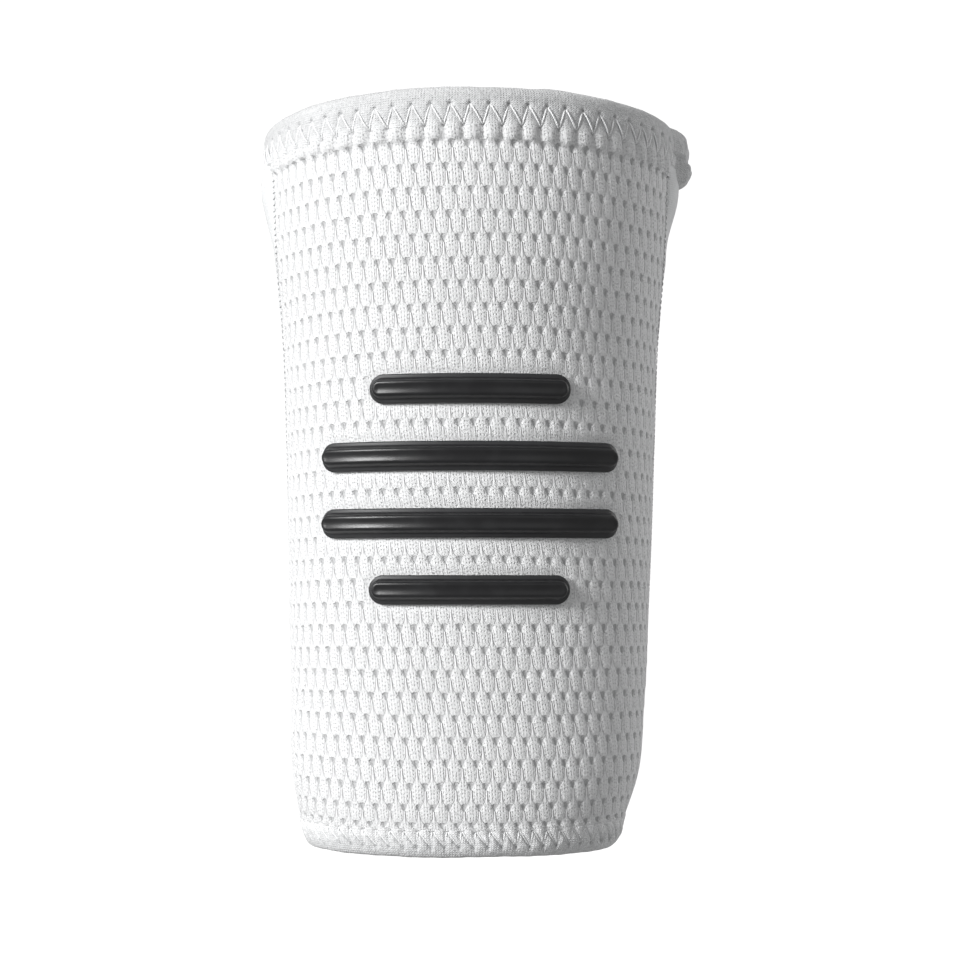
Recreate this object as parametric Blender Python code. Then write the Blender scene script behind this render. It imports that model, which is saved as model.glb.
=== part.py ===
"""Wrist guard: a knitted compression sleeve with a padded front, a smooth stretch back and folded hems.

Metres. +Z is the arm's axis and runs from the wrist edge up to the forearm edge. The padded front
faces -Y. Angles round the sleeve start at the front and grow towards +X.
"""

import math

import bpy
import numpy as np

# The arm's oval that the sleeve is stretched over, at its two ends
SLEEVE_LENGTH = 0.150
FOREARM_OPENING_WIDTH = 0.0796
FOREARM_OPENING_DEPTH = 0.0680
WRIST_OPENING_WIDTH = 0.0576
WRIST_OPENING_DEPTH = 0.0360
WRIST_LEAN = -0.0018

# How far each end's edge runs out of square, from the front round to the back
FOREARM_EDGE_FALL = 0.0080
WRIST_EDGE_RISE = 0.0016

# Cloth walls and the clearance that is left where two pieces are sewn together
FRONT_WALL = 0.0024
BACK_WALL = 0.0012
FOREARM_HEM_WALL = 0.0032
WRIST_HEM_WALL = 0.0028
SEAM_GAP = 0.0003

# Cut sizes of the front panel and the hem bands
FRONT_PANEL_WIDTH = 0.101
FOREARM_HEM_DEPTH = 0.0078
WRIST_HEM_DEPTH = 0.0055
FOREARM_FOLD_ROUND = 0.0022
WRIST_FOLD_ROUND = 0.0032
HEM_CORNER = 0.0004

# The loose fullness of the smooth back just below the forearm hem
FULLNESS = 0.0021
FULLNESS_BELOW_HEM = 0.0040
FULLNESS_RUN = 0.0140
SEAM_LIFT_RUN = math.radians(24.0)

# The lapped ends of the forearm hem's band
HEM_JOINT_ANGLE = math.radians(88.0)
HEM_JOINT_WIDTH = 0.0080
HEM_JOINT_LENGTH = 0.0118
HEM_JOINT_THICKNESS = 0.0027
HEM_JOINT_BELOW_EDGE = 0.0006
HEM_JOINT_SIDE_THICKNESS = 0.0009

# The moulded ribs on the front
RIB_COUNT = 4
RIB_FIELD_WIDTH = 0.064
RIB_FIELD_HEIGHT = 0.045
RIB_FIELD_CENTRE = 0.0724
RIB_FIELD_SQUARENESS = 2.6
RIB_HEIGHT = 0.0058
RIB_FLANGE_WIDTH = 0.0008
RIB_FLANGE_THICKNESS = 0.0006
RIB_BEVEL = 0.0007
RIB_THICKNESS = 0.0022

# Facets
FRONT_COLUMNS, FRONT_ROWS = 30, 22
BACK_COLUMNS, BACK_ROWS = 26, 18
HEM_STEPS = 56
FOLD_STEPS = 6
JOINT_COLUMNS, JOINT_ROWS = 6, 10
RIB_STEPS = 13
RIB_END_STEPS = 4
ARC_STEPS = 181

# The arm's oval from wrist to forearm: height as a share of SLEEVE_LENGTH, width and depth as
# shares of the way from the wrist opening's size to the forearm opening's, lean of WRIST_LEAN.
FORM_COLUMNS = ("height", "width", "depth", "lean")
FORM_ROWS = (
    (0.00, 0.00, 0.00, 1.00),
    (0.04, 0.16, 0.06, 0.95),
    (0.10, 0.37, 0.13, 0.60),
    (0.20, 0.45, 0.20, 0.30),
    (0.40, 0.54, 0.39, 0.05),
    (0.55, 0.60, 0.53, 0.00),
    (0.70, 0.70, 0.71, 0.00),
    (0.80, 0.86, 0.88, 0.00),
    (0.90, 0.96, 0.98, 0.00),
    (1.00, 1.00, 1.00, 0.00),
)

# The two folds of the lapped hem ends: height as a share of HEM_JOINT_LENGTH from the top down,
# and thickness as a share of HEM_JOINT_THICKNESS.
LAP_COLUMNS = ("down", "thickness")
LAP_ROWS = (
    (0.00, 0.30),
    (0.14, 0.78),
    (0.34, 0.88),
    (0.50, 0.62),
    (0.68, 1.00),
    (0.88, 0.90),
    (1.00, 0.36),
)


def clear_scene():
    """Removes whatever the scene already holds."""
    for item in list(bpy.data.objects):
        bpy.data.objects.remove(item, do_unlink=True)


def column(names, rows, name):
    """One named column of a table, as an array."""
    return np.array([row[names.index(name)] for row in rows])


def smooth_between(places, values, wanted):
    """A smooth curve through the table's values: cubic pieces whose slopes are those of the table."""
    slopes = np.gradient(values, places)
    wanted = np.clip(wanted, places[0], places[-1])
    right = np.clip(np.searchsorted(places, wanted), 1, len(places) - 1)
    left = right - 1
    run = places[right] - places[left]
    t = (wanted - places[left]) / run
    start = (1 + 2 * t) * (1 - t) ** 2 * values[left] + t * (1 - t) ** 2 * run * slopes[left]
    end = t**2 * (3 - 2 * t) * values[right] - t**2 * (1 - t) * run * slopes[right]
    return start + end


def form(name, height):
    """A column of the arm's form at the given heights."""
    places = column(FORM_COLUMNS, FORM_ROWS, "height")
    return smooth_between(places, column(FORM_COLUMNS, FORM_ROWS, name), height / SLEEVE_LENGTH)


def half_sizes(height):
    """Half the width and half the depth of the arm's oval at the given heights."""
    width = WRIST_OPENING_WIDTH + (FOREARM_OPENING_WIDTH - WRIST_OPENING_WIDTH) * form("width", height)
    depth = WRIST_OPENING_DEPTH + (FOREARM_OPENING_DEPTH - WRIST_OPENING_DEPTH) * form("depth", height)
    return width / 2, depth / 2


def place(angle, height, offset):
    """Points on the oval that stands off the arm by offset: rows of x, y and z."""
    angle, height, offset = np.broadcast_arrays(angle, height, offset)
    half_width, half_depth = half_sizes(height)
    x = WRIST_LEAN * form("lean", height) + (half_width + offset) * np.sin(angle)
    y = -(half_depth + offset) * np.cos(angle)
    return np.stack([x, y, height], axis=-1)


def arc_per_radian(angle, height, offset):
    """How much cloth one radian takes, at an angle round the oval."""
    half_width, half_depth = half_sizes(height)
    return np.hypot((half_width + offset) * np.cos(angle), (half_depth + offset) * np.sin(angle))


def angle_at_arc(arc, height, offset):
    """The angle that lies a length of cloth away from the front's centre line."""
    steps = np.linspace(0.0, math.pi, ARC_STEPS)
    speed = arc_per_radian(steps, height, offset)
    run = np.concatenate([[0.0], np.cumsum((speed[1:] + speed[:-1]) / 2 * np.diff(steps))])
    return math.copysign(np.interp(abs(arc), run, steps), arc)


def forearm_edge(angle):
    """Height of the forearm edge, which is highest at the front."""
    return SLEEVE_LENGTH - FOREARM_EDGE_FALL * (1 - np.cos(angle)) / 2


def wrist_edge(angle):
    """Height of the wrist edge, which is lowest at the front."""
    return WRIST_EDGE_RISE * (1 - np.cos(angle)) / 2


def panel_height(angle, share):
    """Heights between the two hems, from the lower hem at share 0 to the upper one at share 1."""
    low = wrist_edge(angle) + WRIST_HEM_DEPTH + SEAM_GAP
    high = forearm_edge(angle) - FOREARM_HEM_DEPTH - SEAM_GAP
    return low + (high - low) * share


def seam_angle(share):
    """Where the side seams lie, so that the front panel keeps its cut width from hem to hem."""
    height = float(panel_height(math.pi / 2, share))
    return angle_at_arc(FRONT_PANEL_WIDTH / 2, height, FRONT_WALL)


def seam_clearance(share):
    """Half the seam's gap, as an angle."""
    height = panel_height(math.pi / 2, share)
    return SEAM_GAP / 2 / arc_per_radian(seam_angle(share), height, FRONT_WALL)


def back_offset(angle, height, seam):
    """How far the back's inner side stands off the arm.

    At the seams it is lifted so that its face is flush with the thicker front. Below the forearm
    hem it stands off in one soft swell.
    """
    beside_seam = np.minimum(angle - seam, 2 * math.pi - seam - angle)
    near = np.clip(1 - beside_seam / SEAM_LIFT_RUN, 0, 1)
    lift = (FRONT_WALL - BACK_WALL) * near**2 * (3 - 2 * near)
    crest = forearm_edge(angle) - FOREARM_HEM_DEPTH - FULLNESS_BELOW_HEM
    away = np.clip(np.abs(height - crest) / FULLNESS_RUN, 0, 1)
    swell = FULLNESS * np.cos(away * math.pi / 2) ** 2 * (1 - near**4)
    return lift + swell


def principled(name, colour, roughness):
    """A plain Principled material."""
    material = bpy.data.materials.new(name)
    material.use_nodes = True
    shader = material.node_tree.nodes["Principled BSDF"]
    shader.inputs["Base Color"].default_value = (*colour, 1.0)
    shader.inputs["Roughness"].default_value = roughness
    shader.inputs["Metallic"].default_value = 0.0
    return material


def add_object(name, points, faces, material, parent):
    """A smooth-shaded mesh object with its sharp edges kept."""
    mesh = bpy.data.meshes.new(name)
    mesh.from_pydata(points.reshape(-1, 3).tolist(), [], faces)
    mesh.validate()
    mesh.shade_smooth()
    mesh.set_sharp_from_angle(angle=math.radians(40.0))
    mesh.materials.append(material)
    item = bpy.data.objects.new(name, mesh)
    item.parent = parent
    bpy.context.scene.collection.objects.link(item)
    return item


def slab(name, outer, inner, material, parent):
    """A closed thick sheet between two grids of points with as many rows and columns."""
    rows, columns = outer.shape[:2]
    front = np.arange(rows * columns).reshape(rows, columns)
    back = front + rows * columns
    faces = []
    for r in range(rows - 1):
        for c in range(columns - 1):
            faces.append((front[r, c], front[r, c + 1], front[r + 1, c + 1], front[r + 1, c]))
            faces.append((back[r, c], back[r + 1, c], back[r + 1, c + 1], back[r, c + 1]))
    for c in range(columns - 1):
        faces.append((front[0, c + 1], front[0, c], back[0, c], back[0, c + 1]))
        faces.append((front[-1, c], front[-1, c + 1], back[-1, c + 1], back[-1, c]))
    for r in range(rows - 1):
        faces.append((front[r, 0], front[r + 1, 0], back[r + 1, 0], back[r, 0]))
        faces.append((front[r + 1, -1], front[r, -1], back[r, -1], back[r + 1, -1]))
    faces = [tuple(int(i) for i in face) for face in faces]
    points = np.concatenate([outer.reshape(-1, 3), inner.reshape(-1, 3)])
    return add_object(name, points, faces, material, parent)


def panel_angles(first, last, columns):
    """Evenly spaced angles from first to last, a row for each height."""
    across = np.linspace(0.0, 1.0, columns + 1)
    return first[:, None] + (last - first)[:, None] * across


def front_panel(material, parent):
    """The padded knit front, wrapped from one side seam to the other."""
    shares = np.linspace(0.0, 1.0, FRONT_ROWS + 1)
    reach = np.array([seam_angle(share) - seam_clearance(share) for share in shares])
    angle = panel_angles(-reach, reach, FRONT_COLUMNS)
    height = panel_height(angle, shares[:, None])
    outer = place(angle, height, FRONT_WALL)
    inner = place(angle, height, 0.0)
    return slab("front_panel", outer, inner, material, parent)


def back_panel(material, parent):
    """The smooth stretch back, from the right seam round to the left one."""
    shares = np.linspace(0.0, 1.0, BACK_ROWS + 1)
    seam = np.array([seam_angle(share) for share in shares])
    start = seam + np.array([seam_clearance(share) for share in shares])
    angle = panel_angles(start, 2 * math.pi - start, BACK_COLUMNS)
    height = panel_height(angle, shares[:, None])
    offset = back_offset(angle, height, seam[:, None])
    outer = place(angle, height, offset + BACK_WALL)
    inner = place(angle, height, offset)
    return slab("back_panel", outer, inner, material, parent)


def folded_profile(wall, depth, fold_round):
    """Outline of a folded band: stand-off from the arm, and distance in from the folded edge."""
    turn = np.linspace(0.0, math.pi, FOLD_STEPS + 1)
    sewn_offset = [0.0, HEM_CORNER, wall - HEM_CORNER, wall]
    sewn_inward = [depth - HEM_CORNER, depth, depth, depth - HEM_CORNER]
    offset = np.concatenate([sewn_offset, wall * (1 + np.cos(turn)) / 2])
    inward = np.concatenate([sewn_inward, fold_round * (1 - np.sin(turn))])
    return offset, inward


def hem_ring(name, edge, direction, profile, material, parent):
    """A folded band right round the sleeve; direction is +1 if it lies above its edge, or else -1."""
    offset, inward = profile
    angle = np.linspace(0.0, 2 * math.pi, HEM_STEPS, endpoint=False)[:, None]
    points = place(angle, edge(angle) + direction * inward, offset)
    count = len(offset)
    faces = []
    for step in range(HEM_STEPS):
        following = (step + 1) % HEM_STEPS
        for k in range(count):
            after = (k + 1) % count
            here, there = step * count, following * count
            face = (here + k, there + k, there + after, here + after)
            faces.append(face if direction < 0 else face[::-1])
    return add_object(name, points, faces, material, parent)


def hem_joint(material, parent):
    """The lapped and folded ends of the forearm band, which stand out as two small lobes."""
    across = np.linspace(-1.0, 1.0, JOINT_COLUMNS + 1)
    down = np.linspace(1.0, 0.0, JOINT_ROWS + 1)[:, None]
    places = column(LAP_COLUMNS, LAP_ROWS, "down")
    thickness = smooth_between(places, column(LAP_COLUMNS, LAP_ROWS, "thickness"), down)
    top = forearm_edge(HEM_JOINT_ANGLE) - HEM_JOINT_BELOW_EDGE
    base = FOREARM_HEM_WALL + SEAM_GAP
    height = top - HEM_JOINT_LENGTH * down
    per_radian = arc_per_radian(HEM_JOINT_ANGLE, top, base)
    angle = HEM_JOINT_ANGLE + across * HEM_JOINT_WIDTH / 2 / per_radian
    side = HEM_JOINT_SIDE_THICKNESS / HEM_JOINT_THICKNESS
    rounded = side + (1 - side) * np.sqrt(1 - across**4)
    outer = place(angle, height, base + HEM_JOINT_THICKNESS * thickness * rounded)
    inner = place(angle, height, base)
    return slab("hem_joint", outer, inner, material, parent)


def rib_outline(half_length, half_height):
    """A bar with round ends: the upper side from left to right, then the lower one back again."""
    turn = np.linspace(0.0, math.pi / 2, RIB_END_STEPS + 1)[:-1]
    straight = half_length - half_height
    left_end = -straight - half_height * np.cos(turn)
    along = np.concatenate([left_end, np.linspace(-straight, straight, RIB_STEPS), -left_end[::-1]])
    rise = half_height * np.concatenate([np.sin(turn), np.ones(RIB_STEPS), np.sin(turn)[::-1]])
    upper = np.stack([along, rise], axis=-1)
    lower = np.stack([along, -rise], axis=-1)[1:-1][::-1]
    return np.concatenate([upper, lower]), len(along)


def impact_rib(name, centre, length, material, parent):
    """One moulded rib bent to the front: a thin flange, a bevelled wall and a flat face."""
    base = FRONT_WALL + SEAM_GAP
    levels = (
        (0.0, 0.0),
        (0.0, RIB_FLANGE_THICKNESS),
        (RIB_FLANGE_WIDTH, RIB_FLANGE_THICKNESS),
        (RIB_FLANGE_WIDTH + RIB_BEVEL, RIB_THICKNESS),
    )
    rings = []
    for inset, rise in levels:
        outline, columns = rib_outline(length / 2 - inset, RIB_HEIGHT / 2 - inset)
        angle = np.array([angle_at_arc(along, centre + up, base) for along, up in outline])
        rings.append(place(angle, centre + outline[:, 1], base + rise))
    count = len(rings[0])
    faces = []
    for level in range(len(rings) - 1):
        for k in range(count):
            after = (k + 1) % count
            low, high = level * count, (level + 1) * count
            faces.append((low + k, high + k, high + after, low + after))
    top = (len(rings) - 1) * count
    for c in range(columns - 1):
        rung = list(dict.fromkeys([c, c + 1, (count - c - 1) % count, (count - c) % count]))
        faces.append(tuple(rung))
        faces.append(tuple(top + k for k in rung[::-1]))
    return add_object(name, np.concatenate(rings), faces, material, parent)


def rib_places():
    """Centre height and length of each rib, so that together they fill a rounded field."""
    centres = np.linspace(-1.0, 1.0, RIB_COUNT) * (RIB_FIELD_HEIGHT - RIB_HEIGHT) / 2
    share = np.abs(centres) / (RIB_FIELD_HEIGHT / 2)
    lengths = RIB_FIELD_WIDTH * (1 - share**RIB_FIELD_SQUARENESS) ** (1 / RIB_FIELD_SQUARENESS)
    return RIB_FIELD_CENTRE - centres, lengths


def build():
    """Makes every piece and hangs it on one empty that marks the arm's axis."""
    clear_scene()
    axis = bpy.data.objects.new("arm_axis", None)
    bpy.context.scene.collection.objects.link(axis)
    raised_knit = principled("raised_knit", (0.86, 0.86, 0.85), 0.85)
    stretch_knit = principled("stretch_knit", (0.76, 0.77, 0.77), 0.7)
    band_knit = principled("band_knit", (0.84, 0.84, 0.84), 0.8)
    satin_rubber = principled("satin_rubber", (0.02, 0.02, 0.022), 0.35)
    front_panel(raised_knit, axis)
    back_panel(stretch_knit, axis)
    forearm_profile = folded_profile(FOREARM_HEM_WALL, FOREARM_HEM_DEPTH, FOREARM_FOLD_ROUND)
    wrist_profile = folded_profile(WRIST_HEM_WALL, WRIST_HEM_DEPTH, WRIST_FOLD_ROUND)
    hem_ring("forearm_hem", forearm_edge, -1, forearm_profile, band_knit, axis)
    hem_ring("wrist_hem", wrist_edge, 1, wrist_profile, band_knit, axis)
    hem_joint(band_knit, axis)
    for number, (centre, length) in enumerate(zip(*rib_places(), strict=True), start=1):
        impact_rib(f"impact_rib_{number}", centre, length, satin_rubber, axis)


build()
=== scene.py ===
import math

import bmesh
import bpy
import numpy as np
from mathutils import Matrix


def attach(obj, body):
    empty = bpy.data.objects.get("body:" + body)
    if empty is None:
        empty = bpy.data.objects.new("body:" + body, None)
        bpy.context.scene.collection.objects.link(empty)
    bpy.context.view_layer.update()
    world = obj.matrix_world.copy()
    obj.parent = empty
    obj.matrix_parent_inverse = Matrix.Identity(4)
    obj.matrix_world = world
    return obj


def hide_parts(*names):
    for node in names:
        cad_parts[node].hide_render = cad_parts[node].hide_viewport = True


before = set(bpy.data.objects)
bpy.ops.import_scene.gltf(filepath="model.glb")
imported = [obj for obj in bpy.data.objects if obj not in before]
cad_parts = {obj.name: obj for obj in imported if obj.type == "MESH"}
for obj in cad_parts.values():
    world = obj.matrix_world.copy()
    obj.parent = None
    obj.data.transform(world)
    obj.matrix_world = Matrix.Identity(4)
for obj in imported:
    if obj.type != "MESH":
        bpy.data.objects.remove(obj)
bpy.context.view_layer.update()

# The padded front: one cut of thick white knit, whose raised leaves are staggered row by row with
# an open pocket under each. It is bent round the front of the sleeve and sewn to the back at both
# sides. All pieces are bent to one form, the oval of the sleeve's opening from end to end.
SLEEVE_LENGTH = 0.150
FOREARM_OPENING_WIDTH, FOREARM_OPENING_DEPTH = 0.0796, 0.0680
WRIST_OPENING_WIDTH, WRIST_OPENING_DEPTH = 0.0576, 0.0360
WRIST_LEAN = -0.0018
FOREARM_EDGE_FALL = 0.0080
WRIST_EDGE_RISE = 0.0016
FOREARM_BAND_DEPTH = 0.0078
WRIST_BAND_DEPTH = 0.0055
SEAM_GAP = 0.0003

# Height as a share of the sleeve's length, then width, depth and lean as shares of their way
OVAL_ROWS = np.array([
    (0.00, 0.00, 0.00, 1.00),
    (0.04, 0.16, 0.06, 0.95),
    (0.10, 0.37, 0.13, 0.60),
    (0.20, 0.45, 0.20, 0.30),
    (0.40, 0.54, 0.39, 0.05),
    (0.55, 0.60, 0.53, 0.00),
    (0.70, 0.70, 0.71, 0.00),
    (0.80, 0.86, 0.88, 0.00),
    (0.90, 0.96, 0.98, 0.00),
    (1.00, 1.00, 1.00, 0.00),
])

FRONT_WIDTH = 0.101
FRONT_WALL = 0.0024
LEAF_COLUMN = 0.0030
LEAF_ROWS = 30.55
LEAF_START = 0.86
POCKET_FALL = 0.63
POCKET_HALF = 0.19
LEAF_OPEN = 0.25
THREAD_NECK = 0.07
LEAF_CROWN = 0.00017
LEAF_GROOVE = 0.00006
POCKET_DEPTH = 0.00046
STEPS_PER_COLUMN, STEPS_PER_ROW = 8, 11
INNER_ROWS, INNER_COLUMNS = 17, 29
ROWS_UNDER_BAND = 0.2
KNIT_WHITE, KNIT_SHADOW = (0.88, 0.885, 0.89), (0.10, 0.105, 0.11)

# The relief fades out towards what is sewn or bonded on: where the fade starts and how long it is
SEAM_FADE = 0.0026
FOREARM_FADE_FROM, FOREARM_FADE = 0.0014, 0.0008
WRIST_FADE_FROM, WRIST_FADE = -0.0002, 0.0006
RIB_FADE_FROM, RIB_FADE = 0.0002, 0.0028
RELIEF_UNDER_RIBS = 0.10

# The zigzags gather the knit into puffs, large ones beside the forearm band
PUFF_HEIGHT, PUFF_REACH = 0.00096, 0.0012
GATHER_HEIGHT, GATHER_REACH = 0.00034, 0.0001

# The whole face swells a little, and sinks where a seam, a rib or a band holds it down
SLOW_SWELL = 0.00012
SEAM_TUCK = 0.0001
RIB_SINK = 0.00025
DROP_UNDER_BAND = 0.0012

# The grain leans: how many columns it has moved to the right, at rows counted from the top
GRAIN_ROWS = np.array([
    (0.0, -2.30),
    (4.0, -1.75),
    (8.0, -1.35),
    (12.0, -0.82),
    (16.0, -0.24),
    (20.0, 0.64),
    (24.0, 1.35),
    (28.0, 2.28),
    (30.6, 2.80),
])

FOREARM_ZIGZAGS = 66
FOREARM_FOOT_LEAN = 0.66
WRIST_ZIGZAGS = 60
WRIST_FOOT_LEAN = 0.92

RIB_COUNT = 4
RIB_FIELD_WIDTH, RIB_FIELD_HEIGHT, RIB_FIELD_CENTRE = 0.064, 0.045, 0.0724
RIB_FIELD_SQUARENESS = 2.6
RIB_HEIGHT = 0.0058


def smooth_step(value):
    """0 up to 0, 1 from 1 on, and between them value squared times (3 - 2 value)."""
    value = np.clip(value, 0.0, 1.0)
    return value * value * (3 - 2 * value)


def smooth_between(table, column, wanted):
    """A table's column at the wanted places: cubic pieces through its values, whose slopes at each
    row are those of the table."""
    places, values = table[:, 0], table[:, column]
    slopes = np.gradient(values, places)
    wanted = np.clip(wanted, places[0], places[-1])
    right = np.clip(np.searchsorted(places, wanted), 1, len(places) - 1)
    left = right - 1
    run = places[right] - places[left]
    t = (wanted - places[left]) / run
    start = (1 + 2 * t) * (1 - t) ** 2 * values[left] + t * (1 - t) ** 2 * run * slopes[left]
    end = t**2 * (3 - 2 * t) * values[right] - t**2 * (1 - t) * run * slopes[right]
    return start + end


def oval(height):
    """Half the width, half the depth and the lean of the opening's oval: the wrist end's size plus a
    share, read from OVAL_ROWS at this height, of what the forearm end is bigger."""
    share = height / SLEEVE_LENGTH
    wider = (FOREARM_OPENING_WIDTH - WRIST_OPENING_WIDTH) * smooth_between(OVAL_ROWS, 1, share)
    deeper = (FOREARM_OPENING_DEPTH - WRIST_OPENING_DEPTH) * smooth_between(OVAL_ROWS, 2, share)
    lean = WRIST_LEAN * smooth_between(OVAL_ROWS, 3, share)
    return (WRIST_OPENING_WIDTH + wider) / 2, (WRIST_OPENING_DEPTH + deeper) / 2, lean


def sleeve_point(angle, height, offset):
    """Points that stand off the oval: x is the lean plus the half width and offset times the
    sine of the angle, y minus the half depth and offset times its cosine. Angle 0 is the front."""
    angle, height, offset = np.broadcast_arrays(angle, height, offset)
    half_width, half_depth, lean = oval(height)
    x = lean + (half_width + offset) * np.sin(angle)
    y = -(half_depth + offset) * np.cos(angle)
    return np.stack([x, y, height], axis=-1)


def cloth_per_radian(angle, height, offset):
    """Cloth that one radian takes: the length of the oval's derivative by the angle."""
    half_width, half_depth, _ = oval(height)
    return np.hypot((half_width + offset) * np.cos(angle), (half_depth + offset) * np.sin(angle))


def cloth_run(angle, height, offset):
    """Cloth from the front's middle to an angle: the cloth per radian summed by Gauss's rule."""
    knots, weights = np.polynomial.legendre.leggauss(14)
    angle, height, offset = np.broadcast_arrays(angle, height, offset)
    turn = angle[..., None] * (knots + 1) / 2
    speed = cloth_per_radian(turn, height[..., None], offset[..., None])
    return angle / 2 * (speed * weights).sum(axis=-1)


def angle_at(run, height, offset):
    """The angle that lies a run of cloth from the front's middle, by Newton steps on cloth_run."""
    run, height, offset = np.broadcast_arrays(run, height, offset)
    half_width, half_depth, _ = oval(height)
    angle = 2 * run / (half_width + half_depth + 2 * offset)
    for _ in range(5):
        angle = angle - (cloth_run(angle, height, offset) - run) / cloth_per_radian(angle, height, offset)
    return angle


def forearm_edge(angle):
    """Height of the forearm edge: it falls from the front to the back as the cosine does."""
    return SLEEVE_LENGTH - FOREARM_EDGE_FALL * (1 - np.cos(angle)) / 2


def wrist_edge(angle):
    """Height of the wrist edge: it rises from the front to the back as the cosine does."""
    return WRIST_EDGE_RISE * (1 - np.cos(angle)) / 2


def panel_height(angle, share):
    """Heights between the two bands, from the wrist's at share 0 to the forearm's at share 1."""
    low = wrist_edge(angle) + WRIST_BAND_DEPTH + SEAM_GAP
    high = forearm_edge(angle) - FOREARM_BAND_DEPTH - SEAM_GAP
    return low + (high - low) * share


def wander(a, b):
    """A slow drift between -1 and 1: the mean of four sines that never fall into step."""
    waves = np.sin(1.7 * a + 0.6 * b) + np.sin(2.9 * b - 0.4 * a + 1.1)
    return (waves + np.sin(0.83 * (a + b) + 2.2) + np.sin(3.7 * a - 2.3 * b + 0.5)) / 4


def leaf_half_width(fall):
    """Half a leaf's width, in columns, at a share of a row below its start. It grows from the neck
    as 0.25 t + 0.75 t to the sixth until the next pockets open. A pocket takes from it a half width
    that opens as a square root, like an arch, and narrows by 0.85 of its depth's power of 2.2."""
    t = np.clip(fall / POCKET_FALL, 0, 1)
    opened = THREAD_NECK + (LEAF_OPEN - THREAD_NECK) * (0.25 * t + 0.75 * t**6)
    down = np.clip((fall - POCKET_FALL) / (1 - POCKET_FALL), 0, 1)
    beside = 0.5 - POCKET_HALF * np.sqrt(np.clip(down / 0.30, 0, 1)) * (1 - 0.85 * down**2.2)
    return np.where(fall < POCKET_FALL, opened, beside)


def knit_relief(column, row):
    """Height of the knit over its mean face. A leaf is a dome, 1 less the fourth power of the share
    of its half width, that climbs out of a pocket's foot, swells for a row and two thirds, and ends
    in a round lip over the next pocket but one. Rows are half a column out of step. A pocket is a
    bowl, a squared cosine across that opens at once and grows shallow towards its foot."""
    fall = row - LEAF_START
    odd = np.floor(fall) % 2
    fall = fall % 1
    sideways = np.abs((column - odd / 2 + 0.5) % 1 - 0.5)
    width = leaf_half_width(fall)
    young_dome = 1 - np.clip(sideways / width, 0, 1) ** 4
    old_dome = 1 - np.clip((0.5 - sideways) / np.maximum(0.5 - width, 0.01), 0, 1) ** 4
    young = young_dome * (0.60 + 0.35 * smooth_step(fall / 0.6))
    lip = np.sqrt(1 - np.clip(fall / POCKET_FALL, 0, 1) ** 8 * 0.6)
    old = old_dome * lip * (0.95 + 0.30 * smooth_step(fall / 0.5))
    leaf = LEAF_CROWN * np.where(sideways < width, young, old) - LEAF_GROOVE
    down = np.clip((fall - POCKET_FALL) / (1 - POCKET_FALL), 0, 1)
    bowl = np.cos(np.clip((0.5 - sideways) / (0.27 - 0.08 * down), 0, 1) * math.pi / 2) ** 2
    bowl = bowl * smooth_step(down / 0.30) * (1 - 0.50 * down**2)
    return leaf - POCKET_DEPTH * bowl


def rib_places():
    """Centre height and length of each rib. The centres are even, and the lengths are the width of
    a rounded field at each centre: 1 less the share to the squareness, to the inverse power."""
    centres = np.linspace(-1.0, 1.0, RIB_COUNT) * (RIB_FIELD_HEIGHT - RIB_HEIGHT) / 2
    share = np.abs(centres) / (RIB_FIELD_HEIGHT / 2)
    lengths = RIB_FIELD_WIDTH * (1 - share**RIB_FIELD_SQUARENESS) ** (1 / RIB_FIELD_SQUARENESS)
    return RIB_FIELD_CENTRE - centres, lengths


def beyond_ribs(run, height):
    """How far cloth lies outside the nearest rib: the distance to its middle line less half its
    height, below zero under the rib."""
    centres, lengths = rib_places()
    past_end = np.maximum(np.abs(run)[..., None] - (lengths - RIB_HEIGHT) / 2, 0)
    return (np.hypot(past_end, height[..., None] - centres) - RIB_HEIGHT / 2).min(axis=-1)


def add_piece(name, points, faces, material, maps=None, marks=None):
    """A closed, smooth-shaded mesh that turns its faces outwards, with maps as UV pairs for each
    point and marks as one number for each point. It rides on the sleeve."""
    mesh = bpy.data.meshes.new(name)
    mesh.from_pydata(points.reshape(-1, 3), [], faces)
    shell = bmesh.new()
    shell.from_mesh(mesh)
    bmesh.ops.recalc_face_normals(shell, faces=shell.faces)
    shell.to_mesh(mesh)
    shell.free()
    mesh.shade_smooth()
    corners = np.empty(len(mesh.loops), dtype=np.int32)
    mesh.loops.foreach_get("vertex_index", corners)
    for title, pairs in (maps or {}).items():
        layer = mesh.uv_layers.new(name=title)
        layer.uv.foreach_set("vector", pairs.reshape(-1, 2)[corners].ravel().astype(np.float32))
    for title, numbers in (marks or {}).items():
        layer = mesh.attributes.new(title, "FLOAT", "POINT")
        layer.data.foreach_set("value", numbers.ravel().astype(np.float32))
    mesh.materials.append(material)
    piece = bpy.data.objects.new(name, mesh)
    bpy.context.scene.collection.objects.link(piece)
    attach(piece, "root")
    return piece


def grid_faces(rows, columns, first=0):
    """The four-sided faces of a grid of points that is counted row by row from a first point."""
    start = first + np.arange(rows * columns).reshape(rows, columns)
    corners = [start[:-1, :-1], start[:-1, 1:], start[1:, 1:], start[1:, :-1]]
    return np.stack(corners, axis=-1).reshape(-1, 4)


def zip_faces(first, second, first_share, second_share):
    """Triangles between two edges with different counts of points: all steps along both edges are
    put in order of the share of the way they reach, and each adds the triangle that it closes."""
    reach = np.concatenate([first_share[1:], second_share[1:]])
    on_first = np.concatenate([np.ones(len(first) - 1, bool), np.zeros(len(second) - 1, bool)])
    on_first = on_first[np.argsort(reach, kind="stable")]
    at_first = np.cumsum(on_first) - on_first
    at_second = np.cumsum(~on_first) - ~on_first
    ahead = np.where(on_first, first[np.minimum(at_first + 1, len(first) - 1)],
                     second[np.minimum(at_second + 1, len(second) - 1)])
    return np.stack([first[at_first], ahead, second[at_second]], axis=-1)


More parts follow.
